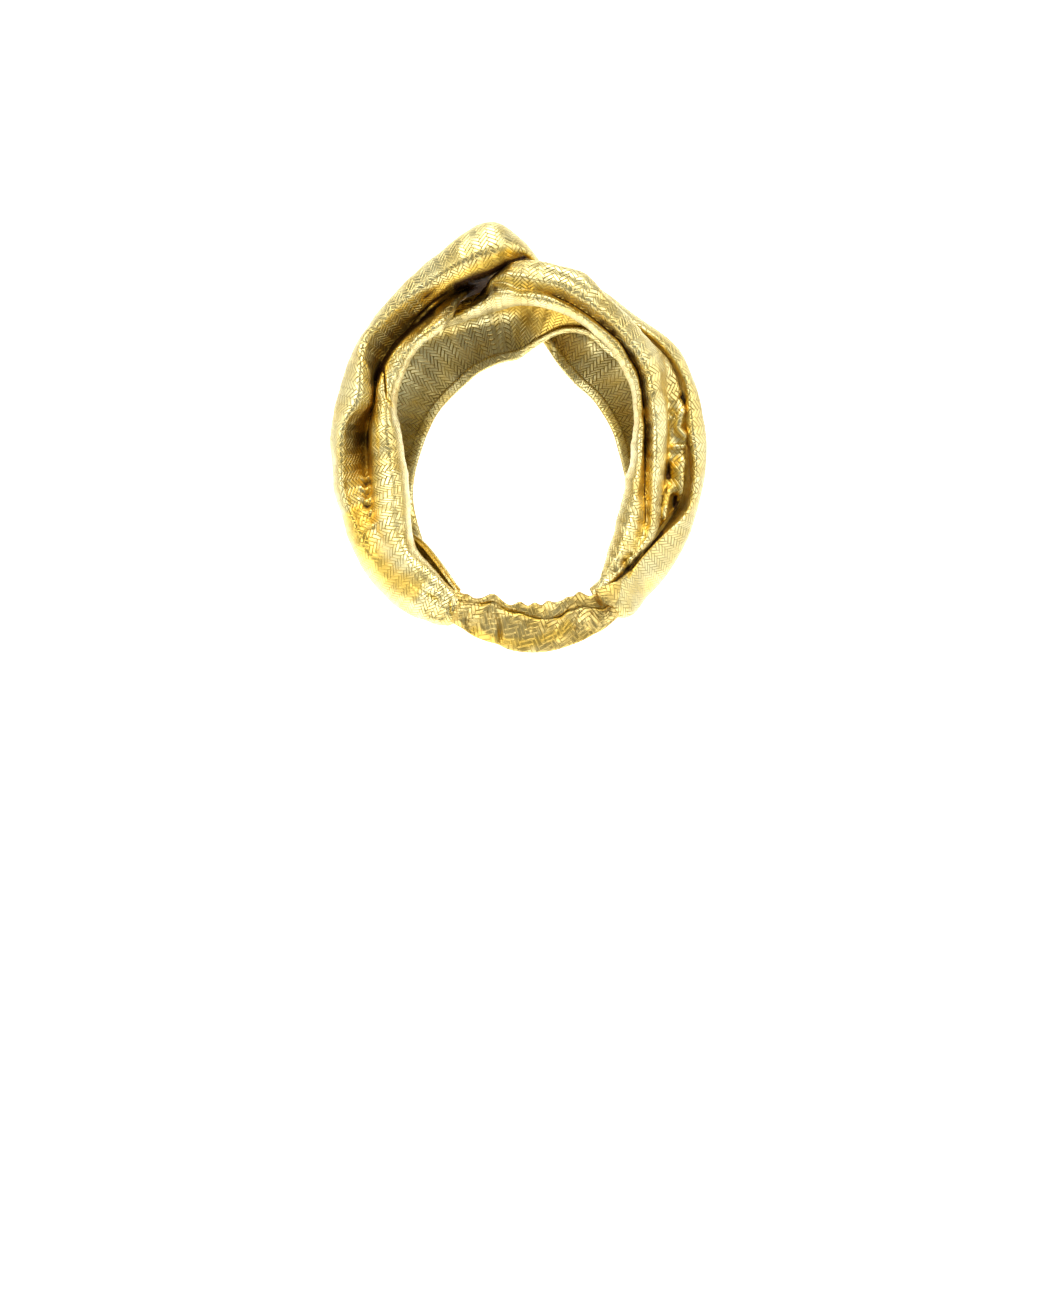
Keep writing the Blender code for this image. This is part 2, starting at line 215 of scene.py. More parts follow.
class Value:
    def __init__(self, maker, socket):
        self.maker, self.socket = maker, socket

    def math(self, kind, *others):
        links = {0: self, **{k + 1: o for k, o in enumerate(others)}}
        return self.maker.node("ShaderNodeMath", {"operation": kind}, links)

    def __add__(self, other):
        return self.math("ADD", other)

    def __radd__(self, other):
        return self.math("ADD", other)

    def __sub__(self, other):
        return self.math("SUBTRACT", other)

    def __rsub__(self, other):
        return (self * -1) + other

    def __mul__(self, other):
        return self.math("MULTIPLY", other)

    def __rmul__(self, other):
        return self.math("MULTIPLY", other)

    def __truediv__(self, other):
        return self.math("DIVIDE", other)

    def floor(self):
        return self.math("FLOOR")

    def fraction(self):
        return self.math("FRACT")

    def wrapped(self, size):
        return self.math("FLOORED_MODULO", size)

    def below(self, level):
        return self.math("LESS_THAN", level)

    def above(self, level):
        return self.math("GREATER_THAN", level)

    def least(self, other):
        return self.math("MINIMUM", other)

    def step(self, low, high):  # smooth from 0 at low to 1 at high
        links = {"Value": self, "From Min": low, "From Max": high}
        return self.maker.node("ShaderNodeMapRange", {"interpolation_type": "SMOOTHSTEP"}, links, "Result")


class Maker:
    def __init__(self, name):
        self.material = bpy.data.materials.new(name)
        self.material.use_nodes = True
        self.tree = self.material.node_tree
        self.shader = self.tree.nodes["Principled BSDF"]

    def node(self, kind, settings=None, inputs=None, output=0):
        made = self.tree.nodes.new(kind)
        for key, value in (settings or {}).items():
            setattr(made, key, value)
        for key, value in (inputs or {}).items():
            self.put(made.inputs[key], value)
        return Value(self, made.outputs[output])

    def put(self, socket, value):
        if isinstance(value, Value):
            self.tree.links.new(value.socket, socket)
        elif isinstance(value, tuple) and len(value) == 3 and socket.type == "RGBA":
            socket.default_value = (*value, 1)
        else:
            socket.default_value = value

    def mix(self, factor, a, b):  # of two colours
        return self.node("ShaderNodeMix", {"data_type": "RGBA"}, {"Factor": factor, 6: a, 7: b}, 2)

    def uv(self):
        vector = self.node("ShaderNodeUVMap", {"uv_map": "clothUV"})
        x = self.node("ShaderNodeSeparateXYZ", {}, {0: vector}, 0)
        y = self.node("ShaderNodeSeparateXYZ", {}, {0: vector}, 1)
        return x, y, vector

    def noise(self, vector, scale, detail=2.0, roughness=0.5):
        inputs = {"Vector": vector, "Scale": scale, "Detail": detail, "Roughness": roughness}
        return self.node("ShaderNodeTexNoise", {}, inputs, 0)


clothLooks = {
    "tileWidth": 0.0023,       # m, of one herringbone tile
    "tileRatio": 3,            # length of a tile in widths
    "grooveShare": 0.20,       # of a tile's width
    "embossDepth": 0.36,       # mm
    "layDepth": 0.07,          # mm, by which the lying tiles stand prouder
    "grainDepth": 0.05,        # mm
    "creaseDepth": 0.10,       # mm
    "turnDegrees": 45.0,       # of the herringbone on the cloth
    "grainScale": 1500.0,      # of the noises, per m
    "creaseScale": 140.0,
    "pressScale": 60.0,
    "pressFrom": (0.30, 0.62),  # of that noise, from worn flat to clear
    "cloudScale": 45.0,
    "driftScale": 30.0,
    "goldPale": (0.94, 0.84, 0.42),
    "goldDeep": (0.85, 0.67, 0.23),
    "cloudFrom": (0.3, 0.7),   # of the noise, from deep to pale
    "grooveGold": (0.46, 0.32, 0.08),
    "grooveFaint": 0.48,       # share of it everywhere
    "grooveClear": 0.45,       # and more where the emboss is clear
    # painted shade in folds and hollows: deeper gold, then dark brown, as the fold shade grows
    "foldShadeGold": (0.92, 0.61, 0.09),
    "hollowShadeBrown": (0.075, 0.032, 0.008),
    "foldShadeFrom": (0.30, 0.72),  # of the sky closed off, where painted shade turns the gold deeper
    "hollowShadeFrom": (0.66, 1.12),
    "foldShadeShare": 0.9,
    "roughness": 0.30,
    "hollowRougher": 0.2,
    "metallic": 1.0,
    "hollowDuller": 0.15,
}


bandLooks = {
    **clothLooks,
    "goldPale": (0.88, 0.71, 0.29),
    "goldDeep": (0.72, 0.50, 0.12),
    "roughness": 0.38,
    "creaseDepth": 0.16,
    "turnDegrees": 20.0,
}


def herringbone(x, y, ratio, grooveShare):
    # x and y in tile widths: returns the raised face, and 1 where its tile lies along x
    fx, fy = x.fraction(), y.fraction()
    order = (x.floor() - y.floor()).wrapped(2.0 * ratio)
    lying = order.below(ratio - 0.5)
    right, up = 1 - fx, 1 - fy
    lyingEdge = fy.least(up)
    lyingEdge = lyingEdge.least(fx + order.above(0.5))
    lyingEdge = lyingEdge.least(right + order.below(ratio - 1.5))
    standingEdge = fx.least(right)
    standingEdge = standingEdge.least(fy + order.below(2 * ratio - 1.5))
    standingEdge = standingEdge.least(up + order.above(ratio + 0.5))
    edge = lyingEdge * lying + standingEdge * (1 - lying)
    return edge.step(0.0, grooveShare), lying


def goldCloth(name, look):
    maker = Maker(name)
    u, v, uvVector = maker.uv()
    # painted shade: how much shade is painted on each point of the folds
    foldShadeLevel = maker.node("ShaderNodeAttribute", {"attribute_name": "foldShade"}, {}, 2)
    drift = maker.noise(uvVector, look["driftScale"], 1.0) - 0.5
    turn = math.radians(look["turnDegrees"])
    width = look["tileWidth"]
    x = (u * math.cos(turn) + v * math.sin(turn)) / width + drift * 0.5
    y = (v * math.cos(turn) - u * math.sin(turn)) / width + drift * 0.4
    raised, lying = herringbone(x, y, look["tileRatio"], look["grooveShare"])

    grain = maker.noise(uvVector, look["grainScale"], 2.0, 0.6)
    cloudy = maker.noise(uvVector, look["cloudScale"], 3.0, 0.55)
    crease = maker.noise(uvVector, look["creaseScale"], 3.0, 0.55)
    pressed = maker.noise(uvVector, look["pressScale"], 2.0, 0.5).step(*look["pressFrom"])
    depth = look["embossDepth"] * (0.5 + 0.5 * pressed)
    height = raised * depth + grain * look["grainDepth"] + crease * look["creaseDepth"]
    height = height + lying * look["layDepth"] * pressed
    normal = maker.node("ShaderNodeBump", {}, {"Height": height, "Distance": mm, "Strength": 1.0})

    groove = (1 - raised) * (look["grooveFaint"] + look["grooveClear"] * pressed)
    tone = maker.mix(cloudy.step(*look["cloudFrom"]), look["goldDeep"], look["goldPale"])
    tone = maker.mix(groove, tone, look["grooveGold"])
    # painted shade: deeper gold in the folds, dark brown in the hollows, made rougher and less metallic there
    tone = maker.mix(foldShadeLevel.step(*look["foldShadeFrom"]) * look["foldShadeShare"], tone, look["foldShadeGold"])
    hollow = foldShadeLevel.step(*look["hollowShadeFrom"])
    tone = maker.mix(hollow, tone, look["hollowShadeBrown"])
    rough = look["roughness"] + (grain - 0.5) * 0.16 + (1 - raised) * 0.10 + lying * 0.04
    rough = rough + hollow * look["hollowRougher"]
    maker.put(maker.shader.inputs["Base Color"], tone)
    maker.put(maker.shader.inputs["Roughness"], rough)
    maker.put(maker.shader.inputs["Normal"], normal)
    maker.put(maker.shader.inputs["Metallic"], look["metallic"] - hollow * look["hollowDuller"])
    return maker.material


overWrap = {
    "name": "overWrapCloth",
    "nodes": ("over_wrap",),
    "thickness": 1.4,          # mm
    # first and last angle in degrees from the top of the head, and how many
    "stations": ((-160.3, -157, 12), (-157, -112, 68), (-112, -60, 80), (-60, 12, 110), (12, 60, 34),
                 (60, 149, 90), (149, 151.6, 10)),
    "steps": (5, 7, 9, 13, 13, 8, 11, 10, 8, 13),  # from fold to fold
    "hemRadius": 1.3,          # mm
    "hemBack": 5.0,            # mm
    # each row: angle, then (radius, depth) in mm at the
    # hem, tuck, roll, brow, valley, lip, crest, side, dip, swell and front
    "rows": [
        (-160.3, (102, -48.5), (101.5, -50), (102.5, -51.5), (105, -52.5), (108, -52.5),
         (111, -52.2), (113.5, -51.5), (116, -49.5), (115.5, -47.5), (114, -46), (110, -45)),
        (-159.2, (102, -46), (100.5, -48.8), (101.7, -52.4), (105, -54.8), (108, -55),
         (111, -55), (115, -53.7), (118.5, -49.5), (118, -45.7), (115.7, -42.5), (111, -40)),
        (-157.5, (101.6, -43.5), (99.7, -47.5), (101, -52.2), (104.8, -54.4), (108, -54.2),
         (111.1, -54.3), (115.3, -53), (119.6, -48.5), (119.2, -43.5), (116.6, -38.5), (111.4, -35.5)),
        (-149, (98, -30), (96, -37), (97, -45), (102, -48.5), (107, -47.5),
         (112, -46.5), (118, -43), (125, -33), (124.5, -23), (121, -13), (114, -8)),
        (-138, (94, -12), (92.5, -24), (94.5, -36), (99, -40), (105, -36.5),
         (111, -32), (118.5, -26), (127, -9), (126, 7), (122.5, 18), (115, 26)),
        (-118, (79, 8), (77.3, -6), (83, -21), (95, -20), (103, -11),
         (110.5, -13), (114.5, -15), (122, 2), (120, 19), (118.5, 30), (112, 38)),
        (-108, (75.5, 15), (73.7, -1), (80, -15.5), (92.5, -10), (98.5, 4),
         (110.5, -7), (114, -12), (120.3, 5), (117.5, 22), (116.5, 32), (110, 40)),
        (-97, (74.7, 20), (73, 3), (79.5, -10), (90, -4), (97, 13),
         (107, -3), (111.5, -9.5), (118.5, 7), (115, 24), (115, 34), (108.5, 41)),
        (-85, (77.5, 21), (76, 4), (81.5, -8), (90.5, -3), (96, 14),
         (104.5, -2), (109, -10), (117.3, 7), (114, 25), (114, 36), (107.5, 43)),
        (-76, (80.5, 22), (79.8, 6), (84, -6), (91.3, -2), (94, 13),
         (97, -1), (103.5, -10.5), (116.5, 8), (113.3, 26), (113.5, 37), (106.7, 44.3)),
        (-66, (83.5, 24), (83.3, 10), (87, -2), (93.7, 0), (98, 13),
         (101.5, 1), (107.5, -8), (116.7, 8.5), (113.7, 26), (113.8, 38), (106.7, 46.5)),
        (-58, (85, 25), (84.7, 12), (87.8, 2), (94, 6), (100, 17),
         (109.5, 4), (113.7, -3.5), (117.7, 9), (115.3, 26), (115.5, 38.5), (107.2, 48.3)),
        (-48, (87.5, 28), (86.8, 14), (89.3, 5), (94, 10), (100, 22),
         (107.5, 9), (113, -1), (119, 10), (117.5, 26), (117.5, 39), (108, 51)),
        (-30, (88.5, 27), (87.5, 19), (89.5, 11), (93, 15), (100.5, 29),
         (106.8, 14), (114, 4), (123.5, 15), (124, 29), (120, 46), (98, 66.5)),
        (-22, (98, 53), (98, 46), (98, 39), (99.3, 34), (103, 45),
         (108, 15), (116, 5), (127.5, 16.5), (128, 33), (122, 53), (93.7, 72)),
        (-15, (100.5, 68), (101, 63), (102, 59), (103.3, 54), (105, 46),
         (108.5, 17), (117.5, 7), (133.5, 19), (134, 37), (126, 58), (93, 76.5)),
        (-6, (105, 72), (104.7, 66), (105, 60), (106.3, 54), (109, 43),
         (111.7, 19), (120.5, 12), (137, 24), (137, 43), (127, 64), (92, 81)),
        (1, (108, 73), (108, 67), (108.7, 61), (110, 54), (113, 45),
         (117.3, 28), (120.5, 23), (126.3, 32), (125, 50), (115, 70), (87, 85)),
        (8, (98, 71), (99, 63), (100.3, 55), (102, 48), (104, 42),
         (106.5, 36.5), (109, 32), (112, 40), (110.5, 58), (100, 76), (76, 86)),
        (22, (88, 72), (92.5, 63), (95.5, 55), (98, 48), (100, 42),
         (102.3, 36.5), (105.3, 32), (109.5, 40), (107.5, 58), (87, 79), (61, 76)),
        (44, (86, 66), (90, 57.5), (94, 49), (96.5, 41.5), (98.5, 35.5),
         (101, 29.5), (104.2, 25), (108.4, 33), (106, 51), (83, 75), (54, 76)),
        (62, (92, 57), (96.5, 52), (100.5, 45.5), (103.5, 38.5), (105.7, 31),
         (107.3, 24), (111, 18), (116.5, 27), (113.5, 44), (90, 68), (57, 69)),
        (72, (94, 56), (98.5, 51), (102, 45), (105, 38), (107.3, 30.5),
         (109, 22.5), (112, 16), (117.3, 25), (114.5, 42), (91.5, 65), (59, 65)),
        (85, (96, 54), (100.5, 49), (104, 42.5), (106.3, 35), (107.2, 27),
         (106, 19.5), (109.5, 11.5), (118, 22), (115.5, 39), (94.5, 60), (63, 59)),
        (97, (98, 50), (102.5, 44), (105.5, 37), (107.7, 30), (109.2, 23),
         (110, 16), (112.7, 9.5), (119, 19), (116.5, 36), (98, 57), (67, 54)),
        (112, (101.5, 43), (105.5, 35.5), (108.5, 27.5), (110.7, 19.5), (112, 12),
         (112.7, 5), (115.3, -0.5), (120.5, 11), (119, 29), (105, 49), (77, 51)),
        (126, (107, 31), (108, 22), (108, 12), (107.3, 3), (106.3, -5),
         (105.3, -13), (106, -20), (122.5, -3), (122.5, 16), (114, 35), (92, 42)),
        (140, (112, -4), (111, -11), (109.3, -18), (107.7, -25), (106, -31.5),
         (104.3, -38), (104.8, -43.5), (123.3, -20), (123.3, -4), (118.5, 9), (107, 17)),
        (150, (113.5, -37), (112, -41), (110.5, -44.5), (108.8, -47.5), (107.2, -50.5),
         (105.8, -53.5), (107.5, -57), (121.5, -50), (121.5, -44.5), (119, -39.5), (115, -35)),
        (151.6, (113.2, -42), (112, -44.5), (110.8, -46.5), (109.5, -48.8), (108.5, -51),
         (108, -53), (109.5, -55), (118.5, -50.5), (118.5, -47.5), (117, -44.5), (114.5, -41.5)),
    ],
}

underWrap = {
    "name": "underWrapCloth",
    "nodes": ("under_wrap_left", "under_wrap_top", "under_wrap_right"),
    "thickness": 1.4,
    "stations": ((-158.5, -34, 50), (-34, 55, 120), (55, 135, 170), (135, 154.5, 40)),
    "steps": (5, 8, 8, 9, 9, 12, 14, 9, 13),
    "hemRadius": 1.3,
    "hemBack": 5.0,
    # each row: angle, then (radius, depth) in mm at the
    # hem, tuck, roll, crease, ridge, brow, facet, pocket, swell and front
    "rows": [
        (-158.5, (99.3, -46.5), (99.7, -44.7), (101.5, -43), (104.5, -43), (108, -45),
         (111.5, -47.5), (114.5, -47.5), (115, -46), (113, -44), (109, -43.3)),
        (-149, (92.5, -32), (92.7, -27), (96, -23), (101, -22), (106, -23),
         (111, -25), (114.5, -24), (115, -20), (111.5, -13), (103, -9)),
        (-140, (89.5, -14), (90, -8), (94, -3.5), (99, -3), (104, -4),
         (109, -4.5), (113.5, -3), (115, 1), (111, 9), (94, 16)),
        (-118, (97, 22), (98, 15), (101, 9), (104, 6), (107, 5.5),
         (109.5, 8), (111.3, 14), (111.5, 22), (104, 39), (80, 46)),
        (-97, (95.5, 48), (96.7, 43), (98.5, 39), (100.8, 36.5), (103, 35.5),
         (104.8, 37), (105.6, 41), (105, 46), (95, 58), (66, 54)),
        (-72, (92, 54), (93.2, 49.5), (95, 46), (97.3, 43.5), (99.7, 43),
         (101.7, 44.5), (102.8, 49), (102, 54), (91, 66), (58, 68)),
        (-45, (91, 58), (92.7, 53), (95.7, 49.5), (98.7, 47.5), (101.7, 47),
         (104.3, 49), (105, 53.5), (104, 58), (89, 73), (53, 78.5)),
        (-30, (85.5, 49), (86.7, 43), (89, 39), (91.3, 41.5), (93, 46),
         (94.5, 51.5), (95, 57.5), (94, 63), (83, 79), (53.5, 80.5)),
        (-22, (84, 44), (85.5, 35), (88.3, 30), (90, 34.5), (90.7, 42),
         (91.5, 49), (91.5, 56), (90.5, 63), (81.5, 81), (53.5, 81)),
        (-15, (84, 42), (86.5, 31), (90, 25), (92.7, 30), (94.7, 37),
         (96.5, 45), (96.5, 53), (94.5, 61), (81.5, 81), (54, 82)),
        (-8, (84.5, 42), (87.5, 28), (93.3, 18), (100.8, 23.5), (103.3, 20.5),
         (105.7, 24.5), (103.7, 34), (98.5, 48), (81, 79), (54.5, 82.5)),
        (0, (86, 32), (86.5, 19), (90.7, 11), (95.3, 17), (102.5, 11.5),
         (111.8, 18), (108, 30), (99, 45), (82, 73), (56, 82.5)),
        (5, (86, 28), (86.3, 16), (90.3, 8.5), (94.4, 14), (101, 8),
         (112.3, 15), (107.5, 26.5), (98.5, 41), (83.5, 66), (60, 80)),
        (12, (86, 26), (86, 14), (89.5, 6), (93.3, 12), (101, 4),
         (111.5, 11), (108, 21.5), (98, 35), (85, 57), (67, 74)),
        (21, (85, 25), (85, 13), (88, 4), (91.3, 9.5), (99, 1.5),
         (111, 10), (109.7, 19), (100, 29.5), (88, 46), (77, 62)),
        (31, (83.5, 24), (83, 12), (86, 3), (89.2, 8), (95.5, 0),
         (104, 7), (105.3, 14.5), (99.5, 24), (90.5, 38), (83, 52)),
        (45, (82, 24), (81.5, 11), (84.5, 1), (88, 6), (93, -2),
         (97.5, 3), (102, 13), (98, 22), (90, 35), (83, 47)),
        (60, (80, 24), (79.3, 9), (82.3, -1), (85.8, 5), (91, -4),
         (97, 0), (103.5, 12), (106, 20), (95.5, 34), (87, 43)),
        (77, (75.5, 23), (74.5, 7), (77.3, -4), (80.2, 3), (86, -7),
         (92, 0), (95.5, 13), (106.5, 18), (97, 35), (88, 43)),
        (96, (73, 20), (71.7, 3), (75.5, -9), (79, 0), (85, -10),
         (91, -2), (94, 12), (105.5, 16), (98.5, 36), (90, 43)),
        (112, (73.5, 12), (72.3, -6), (77.5, -19), (84, -10), (89.5, -18),
         (94.5, -9), (97, 4), (107, 8), (101, 28), (94, 36)),
        (126, (79, -4), (77.5, -19), (85.5, -31), (95, -23), (98.5, -27.5),
         (101.2, -22), (102, -12), (102.7, -2), (102.5, 10), (98, 20)),
        (140, (87, -24), (85.7, -35), (91.5, -44), (97, -41), (99.2, -43),
         (101, -39.5), (101.6, -33.5), (102.6, -26.5), (104.3, -18), (104.5, -9)),
        (150, (98, -43.5), (97, -47), (98, -51), (100, -53.7), (101.7, -54.2),
         (102.7, -51.7), (103.4, -48.3), (104.5, -44.8), (106.5, -41.3), (109, -38.5)),
        (154.5, (101, -46.5), (100, -49), (100.5, -51), (102, -52.3), (103.5, -52.5),
         (104.7, -51.2), (105.8, -49.5), (107, -47.5), (108.7, -45.3), (110.5, -43.5)),
    ],
}


# each stroke: its first and last fold, height, width and reach in mm, then its points in the rear view
overStrokes = [
    # split along the inner roll
    ((1.4, 3.6), -3.0, 0.9, 0, (-84.4, 44), (-83.4, 34.4), (-82.5, 22)),
    # bulging lobe of the outer roll and the notch below it
    ((4.2, 7.2), 4.2, 1.4, 9, (-106, 5), (-99.4, 12.8), (-92.5, 21), (-91.2, 31), (-92, 42), (-97, 54)),
    ((4.2, 6.8), -2.5, 2.0, 0, (-108, 4), (-103, 7), (-98.5, 10)),
    # thin ridges that fan out of the crossing down into the valley
    ((3.0, 5.6), 3.4, 1.4, 0, (-43, 93), (-52, 85), (-60, 77), (-67, 70)),
    ((2.6, 5.0), 3.0, 1.2, 0, (-44, 83), (-53, 74), (-62, 64)),
    ((3.0, 5.6), 2.8, 1.2, 0, (-41, 97), (-50, 91), (-61, 82), (-70, 74)),
    ((3.5, 5.4), -1.8, 1.2, 0, (-45, 89), (-55, 80), (-64, 70)),
    ((3.0, 5.2), 2.4, 1.2, 0, (-66, 68), (-73, 60), (-80, 51), (-84, 44)),
    # zigzag creases low in the valley
    ((3.0, 5.4), 2.6, 1.4, 0, (-101, -22), (-96, -25), (-91, -21)),
    ((3.0, 5.4), 2.6, 1.4, 0, (-101, -28), (-96, -32), (-91, -27)),
    ((3.0, 5.4), 2.6, 1.4, 0, (-101, -35), (-95, -39), (-90, -34)),
    ((3.0, 5.4), 2.6, 1.4, 0, (-100, -42), (-94, -46), (-89, -41)),
    ((3.0, 5.4), 2.2, 1.4, 0, (-98, -50), (-92, -54), (-87, -50)),
    # shade line along the inner roll, with the light hem on its right
    ((0.8, 2.6), -1.2, 2.0, 0, (-80, 9), (-77, -12), (-75, -32), (-71, -54), (-66, -72)),
    # soft stripes that follow the top edge over the peak
    ((5.2, 8.0), 1.0, 2.2, 0, (-62, 91), (-46, 104), (-30, 114), (-14, 121), (-3, 122)),
    ((5.2, 8.0), -0.9, 2.0, 0, (-58, 88), (-42, 101), (-26, 110), (-8, 115), (2, 115)),
    ((5.2, 8.0), 0.9, 2.0, 0, (-55, 84), (-40, 96), (-22, 106), (-4, 112), (3, 112)),
    # piped edge along the right end
    ((5.2, 7.0), 1.3, 1.3, 0, (108, -38), (105, -44), (95, -52.5), (80.6, -68), (70, -86)),
    # gathers at the left seam
    ((2.0, 7.5), 1.5, 1.3, 0, (-62, -90), (-54, -95), (-46, -98)),
    ((2.0, 7.5), -1.3, 1.2, 0, (-61, -94), (-53, -99), (-45, -102)),
    ((2.0, 7.5), 1.4, 1.3, 0, (-60, -98), (-52, -103), (-44, -106)),
    ((3.0, 8.0), -1.2, 1.4, 0, (-61, -104), (-53, -108), (-45, -110)),
    ((3.0, 8.0), 1.2, 1.6, 0, (-60, -110), (-52, -113), (-45, -114)),
]

underStrokes = [
    # sharp outer edge of the second roll
    ((4.3, 6.4), 2.0, 0.8, 4, (87.5, -57), (88.5, -37), (90.3, -20), (91.6, -1), (91.3, 14)),
    # small slanting creases at the top of the crumpled hollow
    ((4.6, 7.8), 1.6, 1.2, 0, (91, 16), (94.4, 22.5), (99, 28)),
    ((4.6, 7.8), 1.6, 1.2, 0, (91.5, 8.5), (95.6, 17), (101, 25)),
    ((4.6, 7.8), 1.4, 1.1, 0, (93, 3), (96, 9), (98.5, 14)),
    # dark pocket under the rim
    ((4.8, 8.0), -4.0, 2.2, 0, (101, 29), (104.5, 25)),
    # main ridge, which widens to a triangle at its foot
    ((4.8, 8.0), 5.0, 2.0, 0, (104, 22), (100.3, 15.6), (98.8, 7), (102.4, 3.4), (107.4, -1)),
    ((4.8, 8.0), 3.6, 1.5, 0, (93.1, -5), (100, -4), (106.7, -3.5)),
    # bright lobe and the pockets beside it
    ((4.8, 8.0), 6.0, 4.2, 0, (106, -8), (100.3, -17.4), (101.7, -28.9), (105.3, -39)),
    ((4.8, 8.0), -3.0, 1.8, 0, (93.1, -12), (93.1, -24)),
    ((4.8, 8.0), -4.0, 2.2, 0, (98.1, -31.8), (96.7, -45)),
    ((4.6, 8.0), 6.0, 2.4, 0, (95.9, -27.5), (91.9, -34.7), (90.2, -46.2), (91.8, -56.3)),
    # dimple with a raised rim near the right seam
    ((0.6, 7.0), 2.4, 1.7, 0, (61.5, -85), (62, -74), (66, -68.5), (71.5, -69.5), (74, -76)),
    ((0.6, 7.0), -3.2, 2.2, 0, (66.5, -73), (66.5, -83)),
    # start of the lower roll at the crossing
    ((1.6, 4.0), 1.4, 1.8, 0, (-19, 97), (-12, 92), (-4, 89.5)),
    # folds that follow the band over the top
    ((3.4, 5.2), 0.9, 1.8, 0, (-12, 104), (4, 102), (24, 96), (46, 84), (62, 68)),
    ((3.4, 5.2), -0.8, 1.6, 0, (-8, 108), (8, 106.5), (28, 100.5), (50, 88), (66, 72)),
    ((4.0, 5.6), 0.8, 1.8, 0, (10, 109.5), (30, 104), (52, 91), (68, 76)),
]
underStrokes += [  # short upright gathers on the strip below the crossing
    ((0.6, 3.0), 1.2, 1.2, 0, (x, 91 - 0.06 * abs(x)), (x - 1.5, 84), (x - 2, 79))
    for x in (-37, -32.5, -28, -23.5, -19, -14.5)
]


# cloth that lies in shade for good: how much, the width in mm, and the points of its way in the rear view
deepShade = [
    # below the crossing
    (0.62, 4.5, (-16, 99.5), (-25, 96), (-36, 91.5)),
    (0.50, 1.8, (-3, 108), (-14, 102), (-26, 97)),
    # pockets of the crumpled hollow
    (0.8, 3.0, (103, 27), (101, 24)),
    (0.5, 2.5, (94, 14), (98, 20)),
    (0.8, 2.2, (93.1, -21), (93.4, -25)),
    (0.9, 2.4, (98.3, -31), (96.7, -45)),
    (0.5, 1.6, (101.5, 12), (103.5, 4)),
    # notch below the lobe, and the split of the inner roll
    (0.34, 5.5, (-98, 5), (-92, 0), (-89, -8)),
    (0.70, 0.8, (-84, 46), (-83.4, 38), (-82.7, 26), (-78, 19)),
    # the hollow's left edge, with painted shade, and its floor, with painted shade taken off so it is lighter
    # than it lies deep
    (0.40, 2.4, (92.6, 16), (93, 0), (93, -25), (92, -45)),
    (-0.28, 6.0, (100, 20), (102, 0), (102, -26), (99, -46)),
    # painted shade that turns the gold deeper low on the left, down the inner roll and along the valley
    (0.64, 13.0, (-106, -40), (-96, -66), (-80, -86), (-58, -98)),
    (0.40, 4.0, (-78, 34), (-81, 10), (-79, -15), (-72, -45), (-66, -62)),
    (0.42, 6.0, (-91, 34), (-82, 52), (-68, 68), (-50, 82)),
    (0.22, 3.6, (-97, -6), (-96.5, -24), (-94, -44)),
    # low on the casing of the band, and the line of its left seam
    (0.60, 6.0, (-34, -117), (-16, -125), (4, -128), (24, -122), (36, -112)),
    (0.90, 0.9, (-44, -97), (-42.6, -104), (-43, -112)),
    # between the thin ridges of the valley
    (0.45, 0.9, (-44, 88), (-55, 79), (-66, 69)),
    (0.45, 0.9, (-41, 95), (-52, 87.5), (-65, 76)),
    (0.40, 0.9, (-45, 79), (-54, 71), (-62, 62)),
    (0.35, 0.8, (-50, 96), (-60, 88), (-71, 78)),
    # between its zigzag creases, and along its right side
    (0.40, 0.8, (-100, -25), (-95.5, -28.5), (-90, -24)),
    (0.40, 0.8, (-100, -31.5), (-95.5, -35.5), (-90, -30.5)),
    (0.40, 0.8, (-100, -38.5), (-94.5, -42.5), (-89, -37.5)),
    (0.35, 0.8, (-99, -46), (-93, -50), (-88, -45)),
    (0.45, 1.4, (-89, 22), (-88, 8), (-87, -10), (-86, -30)),
    # line of the crossing and the underside of the peak
    (0.65, 1.2, (6, 115), (-12, 107.5), (-27, 101), (-42, 93.5)),
    (0.55, 5.2, (-1, 119.5), (-14, 114.5), (-28, 107.5), (-46, 97.5), (-62, 85.5)),
    (0.48, 3.0, (-5, 113.5), (-18, 108), (-30, 102), (-44, 94)),
    (0.60, 3.0, (-34, 90), (-26, 92), (-17, 92)),
    # between the two rolls against the head
    (0.75, 0.9, (19, 90.4), (32.5, 84.6), (45.6, 75.9), (61.9, 61.9), (74, 42.7), (78, 18)),
    (0.75, 0.9, (78, 18), (78.6, -8.3), (78.5, -31.7), (78.4, -57)),
    # dimple near the right seam, and under the over wrap's right edge
    (0.50, 2.4, (66.5, -74), (66.5, -83)),
    (0.80, 1.2, (92.5, -57), (84, -65), (74, -76), (66, -90)),
]


def drawnShade(grid):
    strokes = [((0, 0), amount, width, 0, *points) for amount, width, *points in deepShade]
    return strokeLift(seenAt(grid), np.zeros(grid.shape[1]), strokes)


frontCloth = {                 # where the over wrap's drawn shade would show on its other face
    "depth": (35, 50),         # mm in front of the head's middle, where it fades out
    "topReach": (60, 80),      # mm to either side, where the share for the top ends
    "topShare": 0.5,
}


def offTheFront(grid, look):
    rear = 1 - ramp(grid[..., 1], *look["depth"])
    top = 1 - ramp(np.abs(grid[..., 0]), *look["topReach"])
    return np.maximum(rear, look["topShare"] * top)


